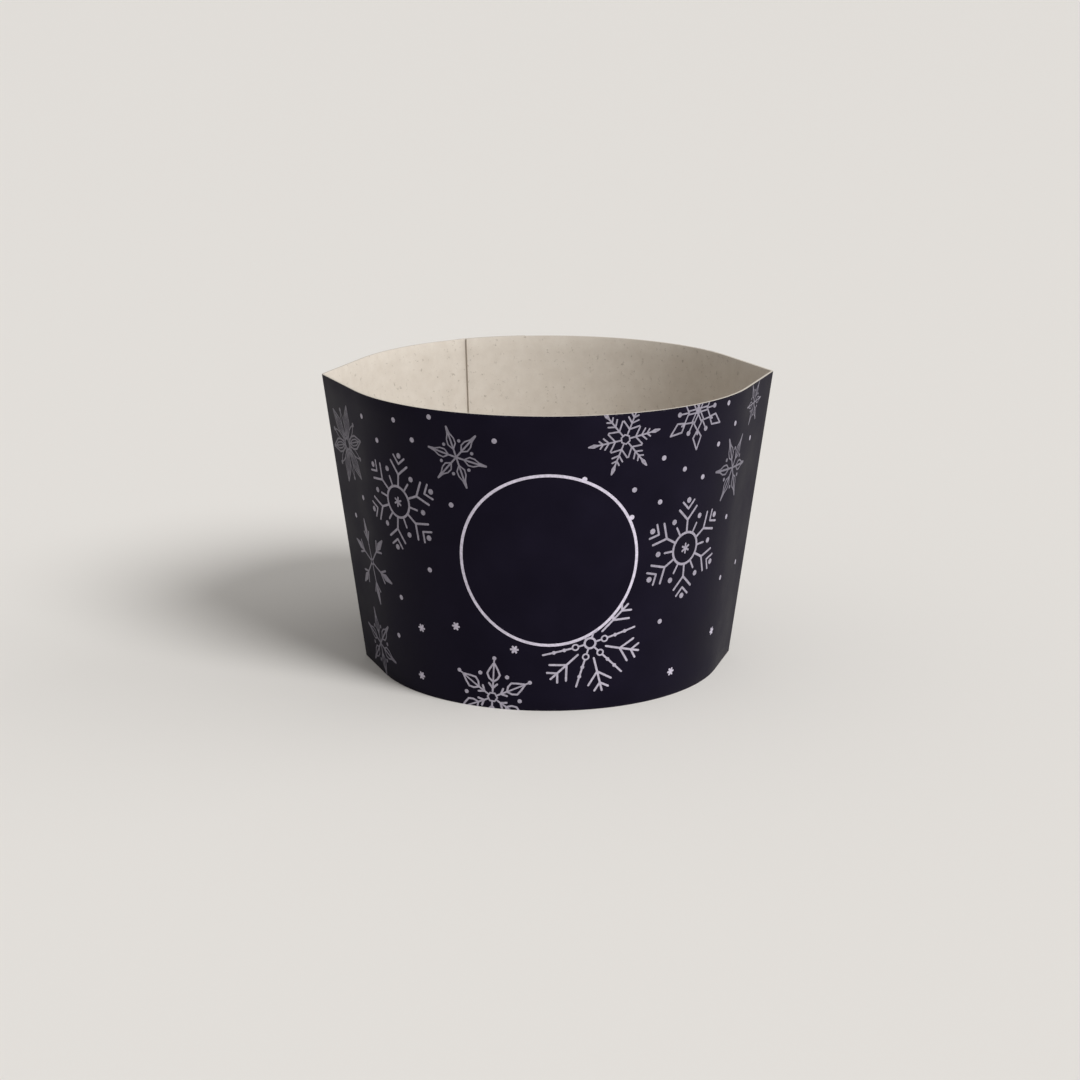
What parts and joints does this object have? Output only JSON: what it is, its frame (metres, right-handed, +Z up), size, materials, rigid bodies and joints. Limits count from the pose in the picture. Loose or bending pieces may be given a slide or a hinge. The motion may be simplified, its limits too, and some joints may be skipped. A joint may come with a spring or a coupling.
{
  "type": "cup sleeve",
  "caption": "Folded and glued board sleeve that slips up a tapered drink cup to insulate the hand, with a winter print and a plain round field.",
  "frame": {"origin": "middle of the cup that the sleeve goes round, level with the sleeve's lower edge", "axes": "+Z up along the cup, towards the wide end; +X to the right crease; -Y to the front panel, +Y to the panel with the glued lap"},
  "size_m": [0.0888, 0.082, 0.058],
  "materials": {
    "printed_board": "silk-coated navy-black print outside, plain uncoated board inside and at the cut edges"
  },
  "bodies": {
    "root": {"cup_sleeve": "printed_board"}
  },
  "joints": []
}
